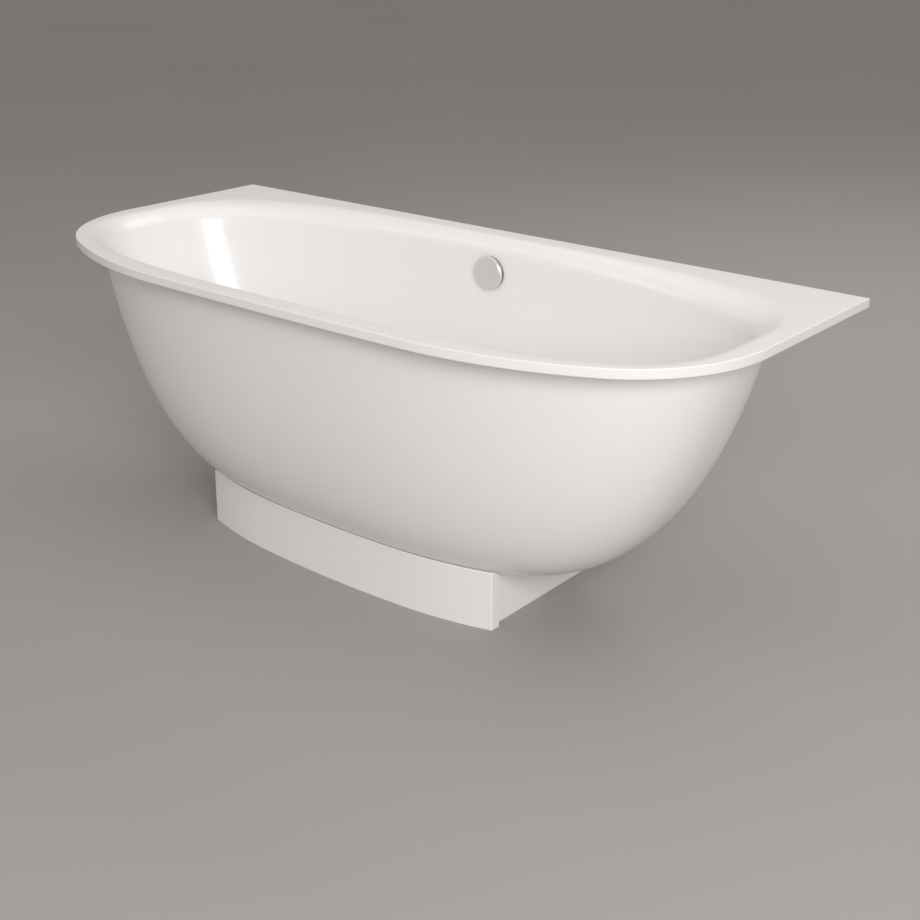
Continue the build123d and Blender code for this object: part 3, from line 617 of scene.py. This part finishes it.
zinc_plate = finished(
    "zinc_plate",
    {
        "Colour": (0.66, 0.68, 0.70, 1),
        "Drift Colour": (0.55, 0.56, 0.55, 1),
        "Drift Scale": 60.0,
        "Gloss Low": 0.22,
        "Gloss High": 0.42,
        "Texture Scale": 900.0,
        "Edge Colour": (0.78, 0.79, 0.80, 1),
        "Edge Wear": 0.6,
    },
    bump=(0.08, 0.0001),
    Metallic=1.0,
)
black_nylon = finished(
    "black_nylon",
    {
        "Colour": (0.022, 0.022, 0.023, 1),
        "Drift Colour": (0.035, 0.035, 0.036, 1),
        "Drift Scale": 50.0,
        "Gloss Low": 0.42,
        "Gloss High": 0.6,
        "Texture Scale": 1400.0,
        "Edge Colour": (0.10, 0.10, 0.10, 1),
        "Edge Wear": 0.5,
    },
    bump=(0.15, 0.0001),
)


def threaded_rod(name):
    """A stud with one rolled helical thread and a short lead at each end."""
    sides, rows_per_turn = 36, 7
    rows = round((stud_top - stud_bottom) / thread_pitch * rows_per_turn)
    angles = 2 * pi * np.arange(sides) / sides
    rings = [level(0 * angles, 0 * angles, stud_bottom)]
    for row in range(rows + 1):
        z = stud_bottom + (stud_top - stud_bottom) * row / rows
        lead = min(1, (z - stud_bottom) / thread_pitch, (stud_top - z) / thread_pitch)
        turn = (z / thread_pitch - angles / (2 * pi)) % 1
        crest = np.clip(1.6 - np.abs(turn - 0.5) * 4, 0, 1) * lead
        reach = stud_radius - thread_depth * (1 - crest)
        rings.append(level(reach * np.cos(angles), reach * np.sin(angles), z))
    rings.append(level(0 * angles, 0 * angles, stud_top))
    return joined_rings(name, rings, closed=False, crease=50)


def chamfered_nuts(name, bottom, top):
    """Four hexagon nuts, one at each foot, with their corners turned off top and bottom."""
    across_flats, bore, bore_edge = 0.019, stud_radius + 0.00005, 0.0006
    sides = 72
    angles = 2 * pi * np.arange(sides) / sides
    to_flat = (angles + pi / 6) % (pi / 3) - pi / 6
    hexagon = across_flats / 2 / np.cos(to_flat)
    chamfer = across_flats * 0.075
    face = np.minimum(hexagon, across_flats * 0.475)
    bevel = np.minimum(hexagon, across_flats * 0.53)
    hole = np.full_like(angles, bore)
    hole_mouth = np.full_like(angles, bore + bore_edge)
    ring_levels = [
        (face, bottom),
        (bevel, bottom + chamfer * 0.45),
        (hexagon, bottom + chamfer),
        (hexagon, top - chamfer),
        (bevel, top - chamfer * 0.45),
        (face, top),
        (hole_mouth, top),
        (hole, top - bore_edge),
        (hole, bottom + bore_edge),
        (hole_mouth, bottom),
    ]
    rings = [level(reach * np.cos(angles), reach * np.sin(angles), z) for reach, z in ring_levels]
    nuts = [
        place(joined_rings(name, rings, crease=25), Matrix.Translation((x, y, 0)))
        for x, y in feet.values()
    ]
    return as_one(name, nuts)


def as_one(name, pieces):
    """Joins several pieces into one object."""
    whole = bmesh.new()
    for piece in pieces:
        whole.from_mesh(piece.data)
    mesh = bpy.data.meshes.new(name)
    whole.to_mesh(mesh)
    whole.free()
    for piece in pieces:
        bpy.data.objects.remove(piece)
    one = bpy.data.objects.new(name, mesh)
    bpy.context.scene.collection.objects.link(one)
    return one


def rounded(corners, radius):
    """An outline of (radius, height) corners with each corner off the axis rounded."""
    steps = 4
    smooth = []
    count = len(corners)
    for index, (r, z) in enumerate(corners):
        corner = Vector((r, z))
        before = Vector(corners[index - 1]) - corner
        after = Vector(corners[(index + 1) % count]) - corner
        if r < 1e-9:
            smooth.append((r, z))
            continue
        cut = min(radius, before.length * 0.45, after.length * 0.45)
        first = corner + before.normalized() * cut
        last = corner + after.normalized() * cut
        for step in range(steps + 1):
            t = step / steps
            point = first * (1 - t) ** 2 + corner * 2 * t * (1 - t) + last * t ** 2
            smooth.append((max(point.x, 0), point.y))
    return smooth


foot_outline = rounded(
    [
        (0, 0), (0.014, 0), (0.0148, 0.0008), (0.0215, 0.0), (0.023, 0.0015), (0.023, 0.0055),
        (0.011, 0.0085), (0.0095, 0.018), (stud_radius, 0.018), (stud_radius, stud_bottom),
        (0, stud_bottom),
    ],
    0.0007,
)
for corner, (x, y) in feet.items():
    body = corner + "_leveller"
    spot = Matrix.Translation((x, y, 0))
    moulded_foot = place(turned("moulded_foot_" + corner, foot_outline, 72), spot)
    dress(moulded_foot, black_nylon, "foot_plastic", body, corner + "_foot")
    rolled_stud = place(threaded_rod("rolled_stud_" + corner), spot)
    dress(rolled_stud, zinc_plate, "zinc_plated_steel", body, corner + "_stud")
nut_joint = bearer_web - weld_nut_height
for name, bottom, top in (
    ("bearer_nuts", nut_joint, bearer_web),
    ("lock_nuts", nut_joint - lock_nut_height, nut_joint),
):
    nuts = chamfered_nuts("chamfered_" + name, bottom, top)
    soften(nuts.data, 25)
    dress(nuts, zinc_plate, "zinc_plated_steel", "bath", name)


# The waste: a brass flange and lifting plug, turned, polished and chromed, which clamp the floor
# of the bowl against a moulded cup below. Rubber rings seal both faces.

bright_chrome = finished(
    "bright_chrome",
    {
        "Colour": (0.80, 0.81, 0.82, 1),
        "Drift Colour": (0.76, 0.77, 0.78, 1),
        "Drift Scale": 30.0,
        "Gloss Low": 0.05,
        "Gloss High": 0.10,
        "Texture Scale": 220.0,
    },
    bump=(0.01, 0.0001),
    Metallic=1.0,
)
plain_brass = finished(
    "plain_brass",
    {
        "Colour": (0.72, 0.52, 0.26, 1),
        "Drift Colour": (0.56, 0.38, 0.19, 1),
        "Drift Scale": 70.0,
        "Gloss Low": 0.25,
        "Gloss High": 0.45,
        "Texture Scale": 1100.0,
        "Edge Colour": (0.84, 0.66, 0.38, 1),
        "Edge Wear": 0.6,
    },
    bump=(0.1, 0.0001),
    Metallic=1.0,
)
seal_rubber = finished(
    "seal_rubber",
    {
        "Colour": (0.030, 0.029, 0.028, 1),
        "Drift Colour": (0.055, 0.053, 0.050, 1),
        "Drift Scale": 90.0,
        "Gloss Low": 0.55,
        "Gloss High": 0.75,
        "Texture Scale": 1500.0,
    },
    bump=(0.2, 0.0001),
)
moulded_white = finished(
    "moulded_white",
    {
        "Colour": (0.74, 0.74, 0.725, 1),
        "Drift Colour": (0.70, 0.70, 0.68, 1),
        "Drift Scale": 35.0,
        "Gloss Low": 0.33,
        "Gloss High": 0.48,
        "Texture Scale": 800.0,
        "Edge Colour": (0.80, 0.80, 0.79, 1),
        "Edge Wear": 0.5,
    },
    bump=(0.12, 0.00015),
)
at_drain = Matrix.Translation((0, bowl_y, 0))
flange_ring = turned(
    "flange_ring",
    rounded(
        [
            (0.022, 0.077), (0.0255, 0.077), (0.0255, 0.1125), (0.035, 0.1125), (0.035, 0.1145),
            (0.0337, 0.1155), (0.0285, 0.1155), (0.022, 0.108),
        ],
        0.0007,
    ),
    128,
)
guide_hub = turned(
    "guide_hub",
    rounded([(0.00405, 0.080), (0.0075, 0.080), (0.0075, 0.088), (0.00405, 0.088)], 0.0006),
    48,
)


def guide_arm(angle):
    """A flat arm with a rounded back, from the hub out into the wall of the neck."""
    half, bottom, shoulder, top = 0.0015, 0.080, 0.0872, 0.088
    inner, outer = 0.0068, 0.0226
    section = [
        (-half, bottom), (half, bottom), (half, shoulder), (half * 0.5, top), (-half * 0.5, top),
        (-half, shoulder),
    ]
    points = [(x, y, z) for x in (inner, outer) for y, z in section]
    faces = [tuple(range(6)), tuple(range(6, 12))]
    faces += [(side, (side + 1) % 6, (side + 1) % 6 + 6, side + 6) for side in range(6)]
    return place(new_piece("guide_arm", points, faces), Matrix.Rotation(angle, 4, "Z"))


guide_arms = [guide_arm(2 * pi * arm / 3) for arm in range(3)]
flange = as_one("flange", [flange_ring, guide_hub] + guide_arms)
soften(flange.data, 35)
dress(place(flange, at_drain), bright_chrome, "bright_chrome", "bath", "waste_flange")


def shallow_dome(radius, rim, crown, steps=14):
    """Points from the edge of a dome of the given rise up to its middle."""
    rise = crown - rim
    ball = (radius * radius + rise * rise) / (2 * rise)
    points = []
    for step in range(steps + 1):
        r = radius * cos(pi / 2 * step / steps)
        points.append((r if step < steps else 0, crown - ball + sqrt(ball * ball - r * r)))
    return points


plug_cap = turned(
    "plug_cap",
    [
        (0, 0.1102), (0.0165, 0.1102), (0.017, 0.1107), (0.017, 0.1113), (0.015, 0.1113),
        (0.015, 0.1135), (0.017, 0.1135), (0.017, 0.1159), (0.0285, 0.1159), (0.0294, 0.1161),
        (0.0299, 0.1166), (0.030, 0.1172), (0.0299, 0.1176), (0.0297, 0.1178),
    ] + shallow_dome(0.0294, 0.1180, 0.1214),
    128,
)
dress(place(plug_cap, at_drain), bright_chrome, "bright_chrome", "plug", "waste_plug")
for name in ("plug_stem", "lift_lever"):
    dress_node(name, plain_brass)
for name in ("plug_seal", "waste_flange_seal", "waste_gasket"):
    dress_node(name, seal_rubber)
dress_node("waste_body", moulded_white)
dress_node("lever_pin", zinc_plate)


# The overflow: a moulded cup behind the bowl, clamped through the wall by a stainless ring. Its
# cover is a pressed and satin-finished cap that turns to lift the plug.

def turned_marks():
    """Fine rings left by a tool or a wheel round an axis, over a slow drift of tone."""
    group, given, out = effect(
        "turned_marks",
        [
            ("Vector", "Vector", None),
            ("Colour", "Color", (0.75, 0.75, 0.75, 1)),
            ("Drift Colour", "Color", (0.68, 0.68, 0.68, 1)),
            ("Middle", "Vector", (0, 0, 0)),
            ("Across Axis", "Vector", (1, 0, 1)),
            ("Rings Per Metre", "Float", 4000.0),
            ("Gloss Low", "Float", 0.2),
            ("Gloss High", "Float", 0.3),
        ],
        [("Colour", "Color"), ("Roughness", "Float"), ("Height", "Float")],
    )
    offset = group.nodes.new("ShaderNodeVectorMath")
    offset.operation = "SUBTRACT"
    group.links.new(given.outputs["Vector"], offset.inputs[0])
    group.links.new(given.outputs["Middle"], offset.inputs[1])
    flat = group.nodes.new("ShaderNodeVectorMath")
    flat.operation = "MULTIPLY"
    group.links.new(offset.outputs["Vector"], flat.inputs[0])
    group.links.new(given.outputs["Across Axis"], flat.inputs[1])
    distance = group.nodes.new("ShaderNodeVectorMath")
    distance.operation = "LENGTH"
    group.links.new(flat.outputs["Vector"], distance.inputs[0])
    rings = group.nodes.new("ShaderNodeTexNoise")
    rings.noise_dimensions = "1D"
    group.links.new(distance.outputs["Value"], rings.inputs["W"])
    group.links.new(given.outputs["Rings Per Metre"], rings.inputs["Scale"])
    drift = spread(group, noise(group, given.outputs["Vector"], 22.0, 2), 0, 1)
    colour = blended(group, drift, given.outputs["Colour"], given.outputs["Drift Colour"])
    marks = rings.outputs["Fac"]
    gloss = spread(group, marks, given.outputs["Gloss Low"], given.outputs["Gloss High"])
    group.links.new(colour, out.inputs["Colour"])
    group.links.new(gloss, out.inputs["Roughness"])
    group.links.new(marks, out.inputs["Height"])
    return group


turned_group = turned_marks()
overflow_axis = (0, wall_y, overflow_height)
satin_chrome = surface(
    "satin_chrome",
    turned_group,
    {
        "Colour": (0.93, 0.92, 0.91, 1),
        "Drift Colour": (0.88, 0.87, 0.86, 1),
        "Middle": overflow_axis,
        "Across Axis": (1, 0, 1),
        "Rings Per Metre": 3500.0,
        "Gloss Low": 0.26,
        "Gloss High": 0.34,
    },
    bump=(0.03, 0.00005),
    Metallic=1.0,
)
stainless_plate = surface(
    "stainless_plate",
    turned_group,
    {
        "Colour": (0.60, 0.60, 0.59, 1),
        "Drift Colour": (0.52, 0.52, 0.51, 1),
        "Middle": overflow_axis,
        "Across Axis": (1, 0, 1),
        "Rings Per Metre": 2500.0,
        "Gloss Low": 0.28,
        "Gloss High": 0.4,
    },
    bump=(0.06, 0.00005),
    Metallic=1.0,
)
turning_cover = turned(
    "turning_cover",
    [
        (0.0, 0.077), (0.008, 0.077), (0.008, 0.0823), (0.0345, 0.0800), (0.035, 0.0795),
        (0.035, 0.0775), (0.0353, 0.077), (0.0371, 0.077), (0.0375, 0.0774), (0.0375, 0.0822),
        (0.0374, 0.0829), (0.0371, 0.0835), (0.0366, 0.0841), (0.0360, 0.0846), (0.0354, 0.0849),
    ] + shallow_dome(0.0349, 0.08505, 0.0870, 18),
    160,
    40,
)
dress(place(turning_cover, from_wall), satin_chrome, "satin_chrome", "knob", "overflow_knob")


def slotted_screw(x):
    """A low domed screw head with a driving slot, on its shank."""
    screw = turned(
        "slotted_screw",
        rounded(
            [
                (0, 0.048), (0.00195, 0.048), (0.00195, 0.0735), (0.004, 0.0735), (0.004, 0.0747),
                (0.0026, 0.0754), (0, 0.0755),
            ],
            0.0004,
        ),
        48,
    )
    slot_sides = (-0.005, 0.005), (-0.0004, 0.0004), (0.0746, 0.0765)
    slot_corners = list(product(*slot_sides))
    slot_faces = [
        (0, 1, 3, 2), (4, 6, 7, 5), (0, 4, 5, 1), (2, 3, 7, 6), (0, 2, 6, 4), (1, 5, 7, 3),
    ]
    carve(screw, new_piece("screw_slot", slot_corners, slot_faces))
    return place(screw, from_wall @ Matrix.Translation((x, 0, 0)))


screw_offset = 0.0205
screws = as_one("slotted_screws", [slotted_screw(-screw_offset), slotted_screw(screw_offset)])
soften(screws.data, 35)
dress(screws, zinc_plate, "zinc_plated_steel", "bath", "overflow_screws")
dress_node("overflow_clamp_ring", stainless_plate)
dress_node("overflow_body", moulded_white)
dress_node("cable_drum", moulded_white)
dress_node("knob_spindle", plain_brass)
for name in ("overflow_gasket", "overflow_face_seal"):
    dress_node(name, seal_rubber)


# The hose and the cable: a corrugated white hose takes the overflow down to the waste, and a black
# sheathed cable beside it works the plug. Union nuts and glands hold their ends.

hose_white = finished(
    "hose_white",
    {
        "Colour": (0.70, 0.70, 0.685, 1),
        "Drift Colour": (0.63, 0.63, 0.61, 1),
        "Drift Scale": 25.0,
        "Gloss Low": 0.38,
        "Gloss High": 0.52,
        "Texture Scale": 500.0,
        "Edge Colour": (0.80, 0.80, 0.79, 1),
        "Edge Wear": 0.4,
    },
    bump=(0.1, 0.00015),
)
black_sheath = finished(
    "black_sheath",
    {
        "Colour": (0.018, 0.018, 0.019, 1),
        "Drift Colour": (0.034, 0.034, 0.035, 1),
        "Drift Scale": 45.0,
        "Gloss Low": 0.3,
        "Gloss High": 0.45,
        "Texture Scale": 900.0,
    },
    bump=(0.08, 0.0001),
)
grey_nut = finished(
    "grey_nut",
    {
        "Colour": (0.16, 0.165, 0.17, 1),
        "Drift Colour": (0.20, 0.205, 0.21, 1),
        "Drift Scale": 40.0,
        "Gloss Low": 0.38,
        "Gloss High": 0.55,
        "Texture Scale": 1000.0,
        "Edge Colour": (0.30, 0.305, 0.31, 1),
        "Edge Wear": 0.6,
    },
    bump=(0.12, 0.00012),
)


def smooth_line(name, route):
    """Even points along a spline through a route of (x, distance from the wall, height)."""
    curve = bpy.data.curves.new(name, "CURVE")
    curve.dimensions = "3D"
    curve.resolution_u = 40
    spline = curve.splines.new("NURBS")
    spline.points.add(len(route) - 1)
    for point, (x, setback, z) in zip(spline.points, route):
        point.co = (x, wall_y - setback, z, 1)
    spline.order_u = 3
    spline.use_endpoint_u = True
    holder = bpy.data.objects.new(name, curve)
    mesh = bpy.data.meshes.new_from_object(holder)
    line = np.array([vertex.co[:] for vertex in mesh.vertices])
    bpy.data.objects.remove(holder)
    bpy.data.meshes.remove(mesh)
    return line


def tube_along(name, line, spacing, radius_at, sides):
    """A tube whose radius changes along its length, on rings square to the line."""
    steps = np.linalg.norm(np.diff(line, axis=0), axis=1)
    run = np.concatenate([[0], np.cumsum(steps)])
    count = round(run[-1] / spacing)
    along = run[-1] * np.arange(count + 1) / count
    centres = np.stack([np.interp(along, run, line[:, axis]) for axis in range(3)], axis=1)
    headings = np.gradient(centres, axis=0)
    headings /= np.linalg.norm(headings, axis=1)[:, None]
    side = np.array([1.0, 0.0, 0.0])
    angles = 2 * pi * np.arange(sides) / sides
    rings = [np.repeat(centres[:1], sides, axis=0)]
    for centre, heading, distance in zip(centres, headings, along):
        side = side - heading * (side @ heading)
        side /= np.linalg.norm(side)
        other = np.cross(heading, side)
        reach = radius_at(distance, run[-1])
        rim = np.cos(angles)[:, None] * side + np.sin(angles)[:, None] * other
        rings.append(centre + reach * rim)
    rings.append(np.repeat(centres[-1:], sides, axis=0))
    return joined_rings(name, rings, closed=False, crease=60)


def corrugated(distance, whole):
    """The radius of the hose: plain cuffs at its ends, and a wave between them."""
    cuff, pitch, crest, depth = 0.022, 0.0046, 0.0129, 0.0016
    inside = min(distance, whole - distance) - cuff
    wave = 0.5 - 0.5 * cos(2 * pi * inside / pitch) if inside > 0 else 0
    return crest - depth * wave


hose_line = smooth_line(
    "hose_line",
    [
        (0, 0.026, 0.485), (0, 0.026, 0.409), (0, 0.026, 0.214), (0, 0.178, 0.060),
        (0, 0.315, 0.060), (0, 0.330, 0.060),
    ],
)
ribbed_hose = tube_along("ribbed_hose", hose_line, 0.00077, corrugated, 36)
dress(ribbed_hose, hose_white, "hose_plastic", "bath", "overflow_hose")
cable_line = smooth_line(
    "cable_line",
    [
        (-0.024, 0.026, 0.527), (-0.024, 0.026, 0.465), (-0.028, 0.026, 0.401),
        (-0.038, 0.027, 0.336), (-0.050, 0.031, 0.271), (-0.062, 0.045, 0.209),
        (-0.070, 0.077, 0.152), (-0.076, 0.122, 0.108), (-0.082, 0.180, 0.080),
        (-0.088, 0.245, 0.070), (-0.090, 0.305, 0.071), (-0.088, 0.348, 0.070),
        (-0.066, 0.380, 0.070), (-0.030, 0.380, 0.070),
    ],
)


def sheathed(distance, whole):
    """The radius of the cable, the same all along."""
    return 0.0025


sheathed_cable = tube_along("sheathed_cable", cable_line, 0.004, sheathed, 24)
dress(sheathed_cable, black_sheath, "cable_sheath", "bath", "control_cable")
for name in ("hose_upper_nut", "hose_lower_nut", "cable_upper_gland", "cable_lower_gland"):
    dress_node(name, grey_nut)


# The trap: a moulded cup that holds the water seal, with a cleaning cap screwed up under it, union
# nuts at both ends, and a plain pipe out to the wall.

for name in ("trap_body", "outlet_pipe"):
    dress_node(name, moulded_white)
for name in ("trap_cap", "trap_inlet_nut", "trap_outlet_nut"):
    dress_node(name, grey_nut)
dress_node("trap_cap_seal", seal_rubber)


# The studio: a plain warm grey floor, a wide soft lamp to the right of the camera, and weaker ones
# overhead, on the left and behind.

floor_reach = 40.0
floor_corners = [
    (across * floor_reach, along * floor_reach, 0)
    for across, along in ((-1, -1), (1, -1), (1, 1), (-1, 1))
]
floor_mesh = bpy.data.meshes.new("studio_floor")
floor_mesh.from_pydata(floor_corners, [], [(0, 1, 2, 3)])
studio_floor = bpy.data.objects.new("studio_floor", floor_mesh)
bpy.context.scene.collection.objects.link(studio_floor)
floor_grey = finished(
    "floor_grey",
    {
        "Colour": (0.365, 0.341, 0.329, 1),
        "Drift Colour": (0.355, 0.332, 0.32, 1),
        "Drift Scale": 0.6,
        "Gloss Low": 0.62,
        "Gloss High": 0.7,
        "Texture Scale": 40.0,
    },
    bump=(0.01, 0.0005),
)
floor_mesh.materials.append(floor_grey)

world = bpy.data.worlds.new("studio_air")
world.use_nodes = True
background = world.node_tree.nodes["Background"]
background.inputs["Color"].default_value = (0.62, 0.60, 0.588, 1)
background.inputs["Strength"].default_value = 0.71
bpy.context.scene.world = world


def soft_lamp(name, location, target, size, power):
    """A broad rectangular lamp that looks at a target."""
    lamp = bpy.data.lights.new(name, "AREA")
    lamp.shape = "RECTANGLE"
    lamp.size, lamp.size_y = size
    lamp.energy = power
    lamp_object = bpy.data.objects.new(name, lamp)
    lamp_object.location = location
    aim = Vector(target) - Vector(location)
    lamp_object.rotation_euler = aim.to_track_quat("-Z", "Y").to_euler()
    bpy.context.scene.collection.objects.link(lamp_object)


soft_lamp("front_lamp", (3.2, -2.6, 2.3), (0, 0, 0.3), (2.2, 1.8), 124)
soft_lamp("overhead_lamp", (-0.2, -0.3, 3.2), (-0.2, -0.3, 0), (3.0, 2.4), 14)
soft_lamp("left_lamp", (-3.0, -2.4, 1.8), (0, 0, 0.35), (1.4, 1.8), 10)
soft_lamp("rear_lamp", (0.6, 2.6, 2.8), (0.6, 2.6, 0), (2.4, 1.6), 30)

camera_data = bpy.data.cameras.new("studio_camera")
camera_data.sensor_width = 36
camera_data.lens = 55.15
camera_data.shift_y = -0.15
camera = bpy.data.objects.new("studio_camera", camera_data)
camera.location = (1.8819, -2.0641, 1.3418)
camera.rotation_euler = (radians(90 - 16.85), 0, radians(39.73))
bpy.context.scene.collection.objects.link(camera)
bpy.context.scene.camera = camera
bpy.context.scene.view_settings.view_transform = "Standard"
